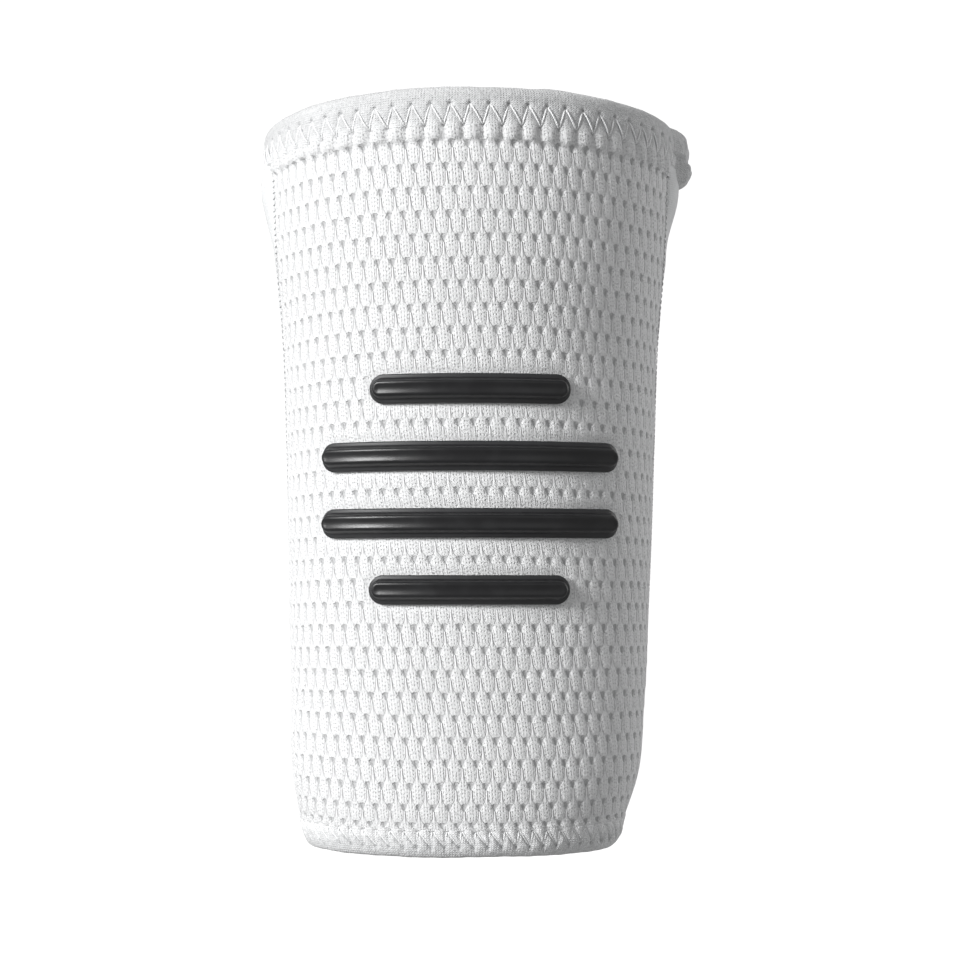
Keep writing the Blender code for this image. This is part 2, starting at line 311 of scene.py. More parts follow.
class Value:
    """A shader socket that takes part in sums as a number does. Each sum adds its Math node."""

    def __init__(self, socket):
        self.socket = socket

    def node(self, kind, sockets, output=0, **settings):
        """Any other node of this material: its type, the value or link of each socket, the output
        that is wanted, and its settings, which are set first."""
        tree = self.socket.id_data
        made = tree.nodes.new(kind)
        for name, setting in settings.items():
            setattr(made, name, setting)
        for name, given in dict(sockets).items():
            if isinstance(given, Value):
                tree.links.new(given.socket, made.inputs[name])
            else:
                made.inputs[name].default_value = given
        return Value(made.outputs[output])

    def math(self, operation, *others):
        return self.node("ShaderNodeMath", enumerate((self, *others)), operation=operation)

    def __add__(self, other):
        return self.math("ADD", other)

    __radd__ = __add__

    def __mul__(self, other):
        return self.math("MULTIPLY", other)

    __rmul__ = __mul__

    def __sub__(self, other):
        return self.math("SUBTRACT", other)

    def __rsub__(self, other):
        return self * -1 + other

    def __truediv__(self, other):
        return self.math("DIVIDE", other)

    def __pow__(self, power):
        return self.math("POWER", power)

    def __mod__(self, other):
        return self.math("FLOORED_MODULO", other)

    def __abs__(self):
        return self.math("ABSOLUTE")

    def __gt__(self, other):
        return self.math("GREATER_THAN", other)

    def clipped(self):
        return self.node("ShaderNodeClamp", {"Value": self})

    def wave(self):
        """The sine of a count of full turns."""
        return (self * (2 * math.pi)).math("SINE")

    def shade(self, dark, light):
        """The colour from dark at 0 to light at 1."""
        return self.node("ShaderNodeMix", {0: self, 6: (*dark, 1), 7: (*light, 1)}, 2, data_type="RGBA")


def finish_with(name, constants):
    """A new Principled material with these constants, its shader, and its object coordinates."""
    material = bpy.data.materials.new(name)
    material.use_nodes = True
    shader = material.node_tree.nodes["Principled BSDF"]
    for socket, constant in constants.items():
        shader.inputs[socket].default_value = constant
    place = Value(material.node_tree.nodes.new("ShaderNodeTexCoord").outputs["Object"])
    return material, shader, place


def feed(shader, place, colour, roughness, relief, depth):
    """Links colour and roughness, and the relief as a bump of the given depth in metres."""
    tree = shader.id_data
    tree.links.new(colour.socket, shader.inputs["Base Color"])
    tree.links.new(roughness.socket, shader.inputs["Roughness"])
    bump = place.node("ShaderNodeBump", {"Height": relief, "Distance": depth, "Strength": 1.0})
    tree.links.new(bump.socket, shader.inputs["Normal"])


def split_map(place, title):
    """The two coordinates of a piece's own map."""
    pair = place.node("ShaderNodeUVMap", {}, uv_map=title)
    across = pair.node("ShaderNodeSeparateXYZ", {0: pair})
    along = pair.node("ShaderNodeSeparateXYZ", {0: pair}, 1)
    return across, along


def raised_knit():
    """White knit yarn. The leaves, grooves and pockets are drawn again from the map of columns and
    rows, finer than the mesh holds them, with the needle gaps between the loops. Painted shade darkens
    the pockets and the vees in them, the grooves, the needle gaps, the dips between loops and the puffs
    beside the forearm band, and a painted highlight lightens the thread's neck below each pocket."""
    finish = {"Sheen Weight": 0.10, "Sheen Roughness": 0.5, "Specular IOR Level": 0.25}
    material, shader, place = finish_with("raised_knit", finish)
    column, row = split_map(place, "knit")
    raised = place.node("ShaderNodeAttribute", {}, 2, attribute_name="raised")
    puff_shade = place.node("ShaderNodeAttribute", {}, 2, attribute_name="puff_shade")
    fall = row - LEAF_START
    odd = fall.math("FLOOR") % 2
    fall = fall % 1
    sideways = abs((column - odd * 0.5 + 0.5) % 1 - 0.5)
    t = (fall / POCKET_FALL).math("MINIMUM", 1.0)
    opened = THREAD_NECK + (LEAF_OPEN - THREAD_NECK) * (0.25 * t + 0.75 * t**6)
    down = ((fall - POCKET_FALL) / (1 - POCKET_FALL)).clipped()
    beside = 0.5 - POCKET_HALF * (down / 0.30).clipped() ** 0.5 * (1 - 0.85 * down**2.2)
    late = fall > POCKET_FALL
    width = opened + (beside - opened) * late
    pocket = ((sideways - width) / 0.05).clipped() * late * raised
    vee = (1 - abs((0.5 - sideways) - 0.15 * (1 - down)) / 0.07).clipped() * pocket
    groove = (1 - abs(sideways - width) / 0.05).clipped() * raised * (1 - pocket)
    old = (sideways > width) * (1 - late)
    from_middle = sideways + (0.5 - sideways * 2) * old
    down_leaf = fall + old
    jitter = place.node("ShaderNodeTexNoise", {"Vector": place, "Scale": 900.0, "Detail": 1.0}) - 0.5
    stagger = (from_middle > 0.2) * 0.5
    gap_across = (from_middle / 0.2 - 0.25 + jitter * 0.7).wave()
    gap_down = (down_leaf * 5.4 + stagger + jitter * 1.1).wave()
    fully = ((down_leaf - 0.5) / 0.2).clipped() * ((1.56 - down_leaf) / 0.1).clipped()
    fully = 1 - raised + fully * raised
    needle_gap = ((gap_across * 0.8 + gap_down * 1.2 - 0.95) / 0.9).clipped() * fully * (1 - pocket)
    neck = (1 - sideways / 0.075).clipped() ** 0.5 * ((0.62 - fall) / 0.2).clipped() * raised
    wale = abs((from_middle / 0.2 + 0.5) % 1 - 0.5) * 2
    loops = (down_leaf * 16.0 + wale * 0.6 + jitter).wave() * 0.5 + 0.5
    fuzz = place.node("ShaderNodeTexNoise", {"Vector": place, "Scale": 2300.0, "Detail": 3.0})
    soil = place.node("ShaderNodeTexNoise", {"Vector": place, "Scale": 90.0, "Detail": 3.0})
    # Painted shade: pockets, their vees, grooves, needle gaps and dips between loops are darkened,
    # and the puffs beside the forearm band carry a painted shadow of the band.
    shadow = pocket * 0.34 + vee * 0.12 + groove * 0.17 + needle_gap * 0.18 + (1 - loops) * 0.05
    shadow = shadow + puff_shade * 0.10
    # neck * 0.1 is a painted highlight along the thread's neck below each pocket.
    white = (1 - shadow) * (0.91 + soil * 0.06 + (fuzz - 0.3) * 0.22 + neck * 0.1)
    colour = white.clipped().shade(KNIT_SHADOW, KNIT_WHITE)
    roughness = 0.70 + pocket * 0.15 + fuzz * 0.14 - neck * 0.25
    relief = loops * 0.35 - wale * 0.2 + fuzz + neck * 0.8
    relief = relief - needle_gap * 0.7 - groove * 0.6 - pocket
    feed(shader, place, colour, roughness, relief, 0.00020)
    return material


def knit_front():
    """The front's outer face is a grid whose columns follow the leaning grain. Where the grain runs
    out of the cut, a row's points stop at the seam. It stands off the oval by its wall and relief,
    plus puffs that go as the sine over each zigzag, to the power 0.6 or 0.7. The inner face is a
    coarse grid, zipped on."""
    half = FRONT_WIDTH / 2
    count = int((half / LEAF_COLUMN + 3.0) * STEPS_PER_COLUMN)
    columns = np.arange(-count, count + 1) / STEPS_PER_COLUMN
    row_count = int(round((LEAF_ROWS + 2 * ROWS_UNDER_BAND) * STEPS_PER_ROW))
    rows = np.linspace(-ROWS_UNDER_BAND, LEAF_ROWS + ROWS_UNDER_BAND, row_count + 1)
    column, row = np.meshgrid(columns, rows)
    grain = smooth_between(GRAIN_ROWS, 1, row) + 0.10 * wander(column / 5, row / 4)
    run = LEAF_COLUMN * (column + grain)
    inside = np.abs(run) < half - 0.3 * LEAF_COLUMN / STEPS_PER_COLUMN
    first = np.argmax(inside, axis=1)[:, None] - 1
    last = len(columns) - np.argmax(inside[:, ::-1], axis=1)[:, None]
    kept = np.clip(np.arange(len(columns)), first, last)
    run = np.clip(run, -half, half)
    column = np.where(inside, column, run / LEAF_COLUMN - grain)
    length = panel_height(0, 1) - panel_height(0, 0)
    from_top = row / LEAF_ROWS * length
    from_bottom = (LEAF_ROWS - row) / LEAF_ROWS * length
    bent_row = row + 0.06 * wander(column / 3 + 2, row / 3)
    bent_row = bent_row + 0.4 * np.exp(-np.maximum(from_bottom, 0) / 0.0028)

    share = 1 - row / LEAF_ROWS
    angle = angle_at(run, panel_height(math.pi / 2, share), FRONT_WALL)
    height = panel_height(angle, share)
    from_seam = half - np.abs(run)
    from_rib = beyond_ribs(run, height)
    raised = smooth_step(from_seam / SEAM_FADE)
    raised = raised * smooth_step((from_top - FOREARM_FADE_FROM) / FOREARM_FADE)
    raised = raised * smooth_step((from_bottom - WRIST_FADE_FROM) / WRIST_FADE)
    clear_of_ribs = smooth_step((from_rib - RIB_FADE_FROM) / RIB_FADE)
    raised = raised * (RELIEF_UNDER_RIBS + (1 - RELIEF_UNDER_RIBS) * clear_of_ribs)

    pitch = cloth_run(math.pi, SLEEVE_LENGTH - FOREARM_BAND_DEPTH, FRONT_WALL) * 2 / FOREARM_ZIGZAGS
    puff = np.abs(np.sin(math.pi * (run / pitch - FOREARM_FOOT_LEAN))) ** 0.6
    emerging = 0.0001 + 0.0005 * puff
    puff = puff * (1 - smooth_step((from_top - PUFF_REACH - 0.0006 * puff) / 0.0010))
    pitch = cloth_run(math.pi, WRIST_BAND_DEPTH, FRONT_WALL) * 2 / WRIST_ZIGZAGS
    gather = np.abs(np.sin(math.pi * run / pitch)) ** 0.7
    gather = gather * (1 - smooth_step((from_bottom - GATHER_REACH) / 0.0007))
    tucked = 1 - smooth_step(from_seam / 0.0010)
    sunk = 1 - smooth_step(from_rib / 0.0016)
    under_band = smooth_step(np.maximum(-from_top - emerging, -from_bottom - 0.0004) / 0.0004)
    swell = SLOW_SWELL * wander(run / 0.009, height / 0.012) * smooth_step(from_seam / 0.003)
    offset = FRONT_WALL + raised * knit_relief(column, bent_row) + swell
    offset = offset + PUFF_HEIGHT * puff + GATHER_HEIGHT * gather
    offset = offset - SEAM_TUCK * tucked - DROP_UNDER_BAND * under_band - RIB_SINK * sunk
    outer = sleeve_point(angle, height, offset)

    number = np.arange(row.size).reshape(row.shape)
    number = np.take_along_axis(number, kept, axis=1)
    quads = np.stack([number[:-1, :-1], number[:-1, 1:], number[1:, 1:], number[1:, :-1]], axis=-1)
    triangles = np.concatenate([quads[..., [0, 1, 2]], quads[..., [0, 2, 3]]]).reshape(-1, 3)
    distinct = (triangles[:, 0] != triangles[:, 1]) & (triangles[:, 1] != triangles[:, 2])
    triangles = triangles[distinct & (triangles[:, 0] != triangles[:, 2])]

    inner_share = np.linspace(share[0, 0], share[-1, 0], INNER_ROWS)
    inner_across = np.linspace(-1, 1, INNER_COLUMNS)
    inner_level = panel_height(math.pi / 2, inner_share[:, None])
    inner_angle = angle_at(inner_across * half, inner_level, FRONT_WALL)
    inner = sleeve_point(inner_angle, panel_height(inner_angle, inner_share[:, None]), 0.0)
    inner_number = row.size + np.arange(inner_angle.size).reshape(inner_angle.shape)
    left, right = number[:, 0], number[:, -1]
    top, bottom = np.unique(number[0]), np.unique(number[-1])
    top_share = run.ravel()[top] / FRONT_WIDTH + 0.5
    bottom_share = run.ravel()[bottom] / FRONT_WIDTH + 0.5
    across_share = (inner_across + 1) / 2
    zips = np.concatenate([
        zip_faces(left, inner_number[:, 0], -share[:, 0], -inner_share),
        zip_faces(right, inner_number[:, -1], -share[:, 0], -inner_share),
        zip_faces(top, inner_number[0], top_share, across_share),
        zip_faces(bottom, inner_number[-1], bottom_share, across_share),
    ])
    triangles = np.concatenate([triangles, zips])
    inner_quads = grid_faces(*inner_angle.shape, first=row.size)

    points = np.concatenate([outer.reshape(-1, 3), inner.reshape(-1, 3)])
    knit = np.stack([column, bent_row], axis=-1).reshape(-1, 2)
    inner_row = (1 - inner_share[:, None]) * LEAF_ROWS
    inner_knit = np.stack(np.broadcast_arrays(inner_across * half / LEAF_COLUMN, inner_row), axis=-1)
    knit = np.concatenate([knit, inner_knit.reshape(-1, 2)])
    raised = np.concatenate([raised.ravel(), np.zeros(inner_angle.size)])
    puff = np.concatenate([puff.ravel(), np.zeros(inner_angle.size)])
    used = np.zeros(len(points), bool)
    used[triangles] = True
    used[inner_quads] = True
    renumber = np.cumsum(used) - 1
    faces = renumber[triangles].tolist() + renumber[inner_quads].tolist()
    # The puffs' share goes along as a mark for the painted shadow of the forearm band.
    return points[used], faces, {"knit": knit[used]}, {"raised": raised[used], "puff_shade": puff[used]}


front_points, front_faces, front_maps, front_marks = knit_front()
front = add_piece("raised_front", front_points, front_faces, raised_knit(), front_maps, front_marks)
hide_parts("front_panel")

# The back: one cut of smooth, thin, pale grey stretch knit, pulled tight. It is sewn to the front
# along both sides, where short creases pull at it, and bulges in a soft swell under the forearm
# band.
BACK_WALL = 0.0012
FULLNESS = 0.0021
FULLNESS_BELOW_BAND = 0.0040
FULLNESS_RUN = 0.0140
SEAM_LIFT_RUN = math.radians(24.0)
BACK_COLUMNS, BACK_ROWS = 190, 150
BACK_REACH = 0.007
BACK_RADIUS, BACK_LENGTH = 0.038, 0.13
BACK_WALE, BACK_COURSE = 0.00048, 0.00045
BACK_PALE, BACK_SHADOW = (0.77, 0.78, 0.785), (0.57, 0.58, 0.585)


def seam_angle(share):
    """Where the side seams lie: half the front's width of cloth away from the front's middle."""
    return angle_at(FRONT_WIDTH / 2, panel_height(math.pi / 2, share), FRONT_WALL)


def back_stand(angle, height, seam):
    """How far the back's inner side stands off the oval: lifted to the front's face beside a seam by
    a smooth step, plus the swell's squared cosine under the forearm band."""
    beside_seam = np.minimum(angle - seam, 2 * math.pi - seam - angle)
    near = np.clip(1 - beside_seam / SEAM_LIFT_RUN, 0, 1)
    lift = (FRONT_WALL - BACK_WALL) * smooth_step(near)
    crest = forearm_edge(angle) - FOREARM_BAND_DEPTH - FULLNESS_BELOW_BAND
    away = np.clip(np.abs(height - crest) / FULLNESS_RUN, 0, 1)
    return lift + FULLNESS * np.cos(away * math.pi / 2) ** 2 * (1 - near**4)


def slab_faces(rows, columns):
    """The faces of a closed slab between two grids of as many points, the second after the first."""
    number = np.arange(rows * columns).reshape(rows, columns)
    rim = np.concatenate([number[0, :-1], number[:-1, -1], number[-1, :0:-1], number[:0:-1, 0]])
    after = np.roll(rim, -1)
    far = rows * columns
    side = np.stack([rim, after, after + far, rim + far], axis=-1)
    return np.concatenate([grid_faces(rows, columns), grid_faces(rows, columns, far), side]).tolist()


def stretch_knit():
    """Pale grey jersey: fine upright wales, each a row of small vees, and a dull sheen."""
    finish = {"Sheen Weight": 0.1, "Sheen Roughness": 0.4, "Specular IOR Level": 0.3}
    material, shader, place = finish_with("stretch_knit", finish)
    across, along = split_map(place, "knit")
    vee = abs(across % 1 - 0.5) * 2
    loops = (along + vee * 0.5).wave() * 0.5 + 0.5
    wale = 1 - vee**4
    fuzz = place.node("ShaderNodeTexNoise", {"Vector": place, "Scale": 3000.0, "Detail": 2.0})
    soil = place.node("ShaderNodeTexNoise", {"Vector": place, "Scale": 70.0, "Detail": 3.0})
    tone = (0.55 + wale * 0.2 + loops * 0.15 + (soil - 0.5) * 0.35).clipped()
    relief = loops * 0.4 + wale * 0.5 + fuzz * 0.3
    feed(shader, place, tone.shade(BACK_SHADOW, BACK_PALE), 0.6 + fuzz * 0.2, relief, 0.00012)
    return material


back_share = np.linspace(-BACK_REACH, 1 + BACK_REACH, BACK_ROWS + 1)[:, None]
back_across = np.linspace(0, 1, BACK_COLUMNS + 1)
back_seam = seam_angle(back_share)
back_angle = back_seam + 2 * (math.pi - back_seam) * back_across
back_height = panel_height(back_angle, back_share)
back_inner = back_stand(back_angle, back_height, back_seam)
back_edge = np.minimum(back_across, 1 - back_across) * 2 * (math.pi - back_seam) * BACK_RADIUS
back_end = np.minimum(back_share, 1 - back_share) * BACK_LENGTH
tuck = 1 - smooth_step(back_edge / 0.0012)
under_band = smooth_step(-back_end / 0.0005)
pull = 0.00016 * np.sin(back_height / 0.0021 + 3 * np.sin(back_angle * 2)) * smooth_step(back_end / 0.01)
pull = pull * (1 - smooth_step((back_edge - 0.001) / 0.012)) * smooth_step(back_edge / 0.001)
back_drift = 0.00025 * wander(back_angle * 3, back_height / 0.02) * smooth_step(back_edge / 0.004)
back_outer = back_inner + BACK_WALL + back_drift + pull - 0.0001 * tuck - 0.0009 * under_band
back_points = np.concatenate([
    sleeve_point(back_angle, back_height, back_outer).reshape(-1, 3),
    sleeve_point(back_angle, back_height, back_inner - 0.0003 * under_band).reshape(-1, 3),
])
back_wales = (back_angle - math.pi) * BACK_RADIUS / BACK_WALE
back_map = np.stack(np.broadcast_arrays(back_wales, back_height / BACK_COURSE), -1)
back_maps = {"knit": np.concatenate([back_map, back_map])}
back_faces = slab_faces(BACK_ROWS + 1, BACK_COLUMNS + 1)
back = add_piece("stretch_back", back_points, back_faces, stretch_knit(), back_maps)
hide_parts("back_panel")

# The forearm band: a strip of plain white jersey folded over the sleeve's raw edge and held with a
# zigzag of shiny thread, whose needle pulls a dimple at every turn. The strip's fold is soft.
FOREARM_BAND_WALL = 0.0032
FOREARM_SEWN_WALL = 0.00312
FOREARM_FOLD_ROUND = 0.0022
FOREARM_LIP = 0.0014
FOREARM_APEX, FOREARM_FOOT = 0.0034, 0.0076
THREAD_RADIUS, THREAD_TWIST = 0.00019, 0.0005
THREAD_LIFT, THREAD_DIVE, THREAD_STRAY = 0.00002, 0.0003, 0.03
THREAD_WHITE, THREAD_SHADOW = (0.87, 0.875, 0.88), (0.58, 0.585, 0.59)
STEPS_PER_ZIGZAG = 16
GROOVE_HALF, DIMPLE_HALF, DIMPLE_DEPTH = 0.00032, 0.00034, 0.00030
SWELL_BETWEEN_LEGS = 0.00016
RUN_UNDER_KNIT, DROP_UNDER_KNIT = 0.0006, 0.0008
SEWN_RUN, SEWN_DROP = 0.0022, 0.0004
LIP_ANGLE, LIP_SPREAD = 0.40, 0.24
JERSEY_WALE, JERSEY_COURSE = 0.00055, 0.00045
JERSEY_SHADOW = (0.40, 0.405, 0.41)


def segment_distance(x, y, start, end):
    """Distance of points from a straight leg: to the nearest share, from 0 to 1, of the leg."""
    leg_x, leg_y = end[0] - start[0], end[1] - start[1]
    share = np.clip(((x - start[0]) * leg_x + (y - start[1]) * leg_y) / (leg_x**2 + leg_y**2), 0, 1)
    return np.hypot(x - start[0] - share * leg_x, y - start[1] - share * leg_y)


def stitched_face(along, inward, pitch, apex, foot, lean, grooves):
    """How deep a zigzag pulls a band's face in. Legs to a foot and legs to an apex press a groove
    each, every turn a deep round dimple, and the cloth between them swells a little."""
    x = along % 1 * pitch
    to_foot, to_apex = np.inf, np.inf
    for n in (0, 1):
        top, foot_after = (n * pitch, apex), ((n + lean) * pitch, foot)
        foot_before = ((n - 1 + lean) * pitch, foot)
        to_foot = np.minimum(to_foot, segment_distance(x, inward, top, foot_after))
        to_apex = np.minimum(to_apex, segment_distance(x, inward, foot_before, top))
    near_leg = np.minimum(to_foot, to_apex)
    turns = [(0, apex), (1, apex), (lean, foot), (lean - 1, foot), (lean + 1, foot)]
    near_turn = np.min([np.hypot(x - a * pitch, inward - b) for a, b in turns], axis=0)
    pressed_and_shade = grooves[0] * np.exp(-((to_foot / GROOVE_HALF) ** 2))
    pressed_and_shade = pressed_and_shade + grooves[1] * np.exp(-((to_apex / GROOVE_HALF) ** 2))
    pressed_and_shade = pressed_and_shade + DIMPLE_DEPTH * np.exp(-((near_turn / DIMPLE_HALF) ** 2))
    low, high = min(apex, foot), max(apex, foot)
    within = smooth_step((inward - low + 0.0008) / 0.0012) * smooth_step((high + 0.0010 - inward) / 0.0012)
    return pressed_and_shade - SWELL_BETWEEN_LEGS * within * smooth_step(near_leg / 0.0011)


def band_ring(edge, direction, level, wall, depth, fold_round, sewn_wall, zigzags, stitch, lip=0.0):
    """A folded band right round. Its outline goes up the outer face, round the fold as a half turn,
    and down the inner face. Round the sleeve it is cut at even runs of cloth. Its face is the wall
    less what the stitch pulls in and, where it is sewn, a drop that is deepest at the stitch's
    feet. A lip is how far the inner layer stands past the fold, as a bell curve beside the front."""
    steps = zigzags * STEPS_PER_ZIGZAG
    whole = 2 * float(cloth_run(math.pi, level, wall))
    run = whole * (np.arange(steps) / steps - 0.5)
    angle = angle_at(run, level, wall)[:, None]
    along = (run * zigzags / whole)[:, None]
    turn = np.linspace(0, math.pi, 13)
    sewn_depth = depth + RUN_UNDER_KNIT
    down = np.linspace(sewn_depth, fold_round, 29)[:-1]
    inner = np.linspace(fold_round, sewn_depth, 7)[1:-1]
    outer_face, inner_face = np.ones(len(down)), np.zeros(len(inner))
    round_fold = wall * (1 + np.cos(turn)) / 2
    stand = np.concatenate([[0.0, 0.0006], wall * outer_face, round_fold, inner_face])
    inward = np.concatenate([[sewn_depth, sewn_depth], down, fold_round * (1 - np.sin(turn)), inner])
    to_crest = np.clip(1 - turn / (math.pi / 2), 0, 1)
    face = np.concatenate([[0.0, 0.0], outer_face, to_crest, inner_face])
    sewn = 1 - smooth_step((depth - inward) / SEWN_RUN)
    pulled = stitched_face(along, inward, whole / zigzags, *stitch)
    soft = 0.00018 * wander(along / 3.0, inward / 0.004 + 0 * along)
    soft = soft + 0.00008 * wander(along * 2.1, inward / 0.0015)
    off_feet = np.abs(np.sin(math.pi * (along - stitch[2]))) ** 0.6
    under_knit = smooth_step((inward - depth) / (sewn_depth - depth))
    drop = sewn * (wall - sewn_wall + SEWN_DROP * (1 - off_feet)) + DROP_UNDER_KNIT * under_knit
    offset = stand + face * (soft * (1 - sewn) - pulled - drop)
    wobble = 0.00022 * wander(along / 4.0, 0.3) + 0.00010 * wander(along * 1.3, 0.7)
    near_fold = 1 - smooth_step(inward / 0.004)
    past_crest = smooth_step((turn / math.pi - 0.4) / 0.5)
    behind = np.concatenate([[0.0, 0.0], 0 * down, past_crest, np.linspace(1, 0, len(inner))])
    rolled = lip * np.exp(-(((angle - LIP_ANGLE) / LIP_SPREAD) ** 2))
    rolled = rolled * (1 + 0.3 * wander(along * 0.9, 0.2)) * behind
    height = edge(angle) + direction * (inward + wobble * near_fold - rolled)
    points = sleeve_point(angle, height, offset)
    # A mark for painted shade: where the stitch pulls the cloth in, and on the inner lip past the fold.
    pressed_and_shade = np.clip(pulled / 0.0004, 0, 1) * face + rolled / max(lip, 0.001)
    wales, courses = along * whole / zigzags / JERSEY_WALE, inward / JERSEY_COURSE
    knit = np.stack(np.broadcast_arrays(wales, courses), axis=-1)
    return points, {"knit": knit}, {"pressed_and_shade": pressed_and_shade, "sewn": sewn * face + 0 * along}


def ring_faces(steps, around):
    """The faces of a grid that closes on itself both ways."""
    number = np.arange(steps * around).reshape(steps, around)
    beside, above = np.roll(number, -1, axis=0), np.roll(number, -1, axis=1)
    corner = np.roll(beside, -1, axis=1)
    return np.stack([number, beside, corner, above], axis=-1).reshape(-1, 4).tolist()


def thread_tube(path, away, radius, sides=8, closed=False):
    """A round thread along a path: rings of points at the radius round it, set by the direction
    away from the cloth and the one square to that and to the path. Open ends are capped."""
    if closed:
        ahead = np.roll(path, -1, axis=0) - np.roll(path, 1, axis=0)
    else:
        ahead = np.gradient(path, axis=0)
    ahead = ahead / np.linalg.norm(ahead, axis=1, keepdims=True)
    across = np.cross(ahead, away)
    across = across / np.linalg.norm(across, axis=1, keepdims=True)
    up = np.cross(across, ahead)
    turn = np.linspace(0, 2 * math.pi, sides, endpoint=False)[:, None]
    rings = path[:, None] + radius * (np.cos(turn) * across[:, None] + np.sin(turn) * up[:, None])
    if closed:
        return rings, ring_faces(len(path), sides)
    number = np.arange(len(path) * sides).reshape(len(path), sides)
    ahead_of, beside = number[1:], np.roll(number[:-1], -1, axis=1)
    faces = np.stack([number[:-1], beside, np.roll(ahead_of, -1, axis=1), ahead_of], axis=-1)
    return rings, faces.reshape(-1, 4).tolist() + [number[0].tolist(), number[-1, ::-1].tolist()]


def zigzag_path(edge, direction, level, wall, zigzags, stitch, bows, steps=20):
    """The thread's line over a band: each zigzag goes from its apex to its foot and on to the next
    apex, bows out over the cloth between them as a sine, and dives into it at each turn."""
    apex, foot, lean = stitch[:3]
    whole = 2 * float(cloth_run(math.pi, level, wall))
    count = np.arange(zigzags * steps) / steps - zigzags / 2
    phase = count % 1
    going_down = phase < 0.5
    leg = np.where(going_down, phase * 2, phase * 2 - 1)
    along = np.floor(count) + np.where(going_down, lean * leg, lean + (1 - lean) * leg)
    along = along + THREAD_STRAY * wander(np.floor(count * 2), 0.4) * np.sin(math.pi * leg)
    inward = np.where(going_down, apex + (foot - apex) * leg, foot + (apex - foot) * leg)
    angle = angle_at(along * whole / zigzags, level, wall)
    bow = np.sin(math.pi * leg) ** 0.6
    pulled = stitched_face(along, inward, whole / zigzags, *stitch)
    bowed = np.where(going_down, *bows) * bow
    offset = wall - pulled + THREAD_LIFT + bowed - THREAD_DIVE * (1 - bow)
    height = edge(angle) + direction * inward
    away = sleeve_point(angle, height, offset + 0.001) - sleeve_point(angle, height, offset)
    return sleeve_point(angle, height, offset), away


def band_knit(name, lightest):
    """Plain white jersey: columns of small vees half a millimetre wide, with a soft nap. Painted shade
    darkens it where a thread pulls it into grooves and dimples, over the inner lip behind the fold and
    in the lapped joint's creases. It is lighter along the sewn edge."""
    finish = {"Sheen Weight": 0.25, "Sheen Roughness": 0.5, "Specular IOR Level": 0.25}
    material, shader, place = finish_with(name, finish)
    across, along = split_map(place, "knit")
    vee = abs(across % 1 - 0.5) * 2
    loops = (along + vee * 0.45).wave() * 0.5 + 0.5
    wale = 1 - vee**3
    fuzz = place.node("ShaderNodeTexNoise", {"Vector": place, "Scale": 1900.0, "Detail": 3.0})
    soil = place.node("ShaderNodeTexNoise", {"Vector": place, "Scale": 110.0, "Detail": 3.0})
    pressed_and_shade = place.node("ShaderNodeAttribute", {}, 2, attribute_name="pressed_and_shade")
    sewn = place.node("ShaderNodeAttribute", {}, 2, attribute_name="sewn")
    tone = 0.52 + loops * 0.10 + wale * 0.08 + (soil - 0.5) * 0.3 + (fuzz - 0.5) * 1.1
    # Painted shade where the cloth is pulled in, on the inner lip and in creases; lighter along the sewn
    # edge.
    tone = tone - pressed_and_shade * 0.45 + sewn * 0.42
    light = (lightest, lightest + 0.005, lightest + 0.01)
    colour = tone.clipped().shade(JERSEY_SHADOW, light)
    feed(shader, place, colour, 0.68 + fuzz * 0.2, loops * 0.35 + wale * 0.2 + fuzz * 1.2, 0.00020)
    return material


def sewing_thread():
    """Bright polyester thread: two plies twisted together, smoother and shinier than the cloth."""
    material, shader, place = finish_with("sewing_thread", {"Sheen Weight": 0.1, "Specular IOR Level": 0.6})
    around, along = split_map(place, "knit")
    ply = (along + around * 2).wave() * 0.5 + 0.5
    fuzz = place.node("ShaderNodeTexNoise", {"Vector": place, "Scale": 4000.0, "Detail": 1.0})
    colour = (0.55 + ply * 0.45).shade(THREAD_SHADOW, THREAD_WHITE)
    feed(shader, place, colour, 0.34 + fuzz * 0.16, ply, 0.00005)
    return material


def thread_map(rings):
    """Share of the way round the thread, and twists along it at one to each half millimetre."""
    steps = np.linalg.norm(np.diff(rings.mean(axis=1), axis=0), axis=1)
    along = np.concatenate([[0.0], np.cumsum(steps)]) / THREAD_TWIST
    around = np.linspace(0, 1, rings.shape[1], endpoint=False)
    return np.stack(np.broadcast_arrays(around, along[:, None]), axis=-1)


# This jersey is set darker than the wrist band's (0.73 against 0.80): partly painted shade over the
# fold at the forearm end.
jersey = band_knit("band_knit", 0.73)
thread_white = sewing_thread()
forearm_stitch = (FOREARM_APEX, FOREARM_FOOT, FOREARM_FOOT_LEAN, (0.00009, 0.00012))
forearm_level = SLEEVE_LENGTH - FOREARM_BAND_DEPTH / 2
ring, ring_maps, ring_marks = band_ring(
    forearm_edge, -1, forearm_level, FOREARM_BAND_WALL, FOREARM_BAND_DEPTH, FOREARM_FOLD_ROUND,
    FOREARM_SEWN_WALL, FOREARM_ZIGZAGS, forearm_stitch, lip=FOREARM_LIP,
)
forearm_band = add_piece("forearm_band", ring, ring_faces(*ring.shape[:2]), jersey, ring_maps, ring_marks)
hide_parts("forearm_hem")
path, away = zigzag_path(
    forearm_edge, -1, forearm_level, FOREARM_BAND_WALL, FOREARM_ZIGZAGS, forearm_stitch, (0.00014, 0.00001)
)
rings, faces = thread_tube(path, away, THREAD_RADIUS, closed=True)
forearm_zigzag = add_piece("forearm_zigzag", rings, faces, thread_white, {"knit": thread_map(rings)})

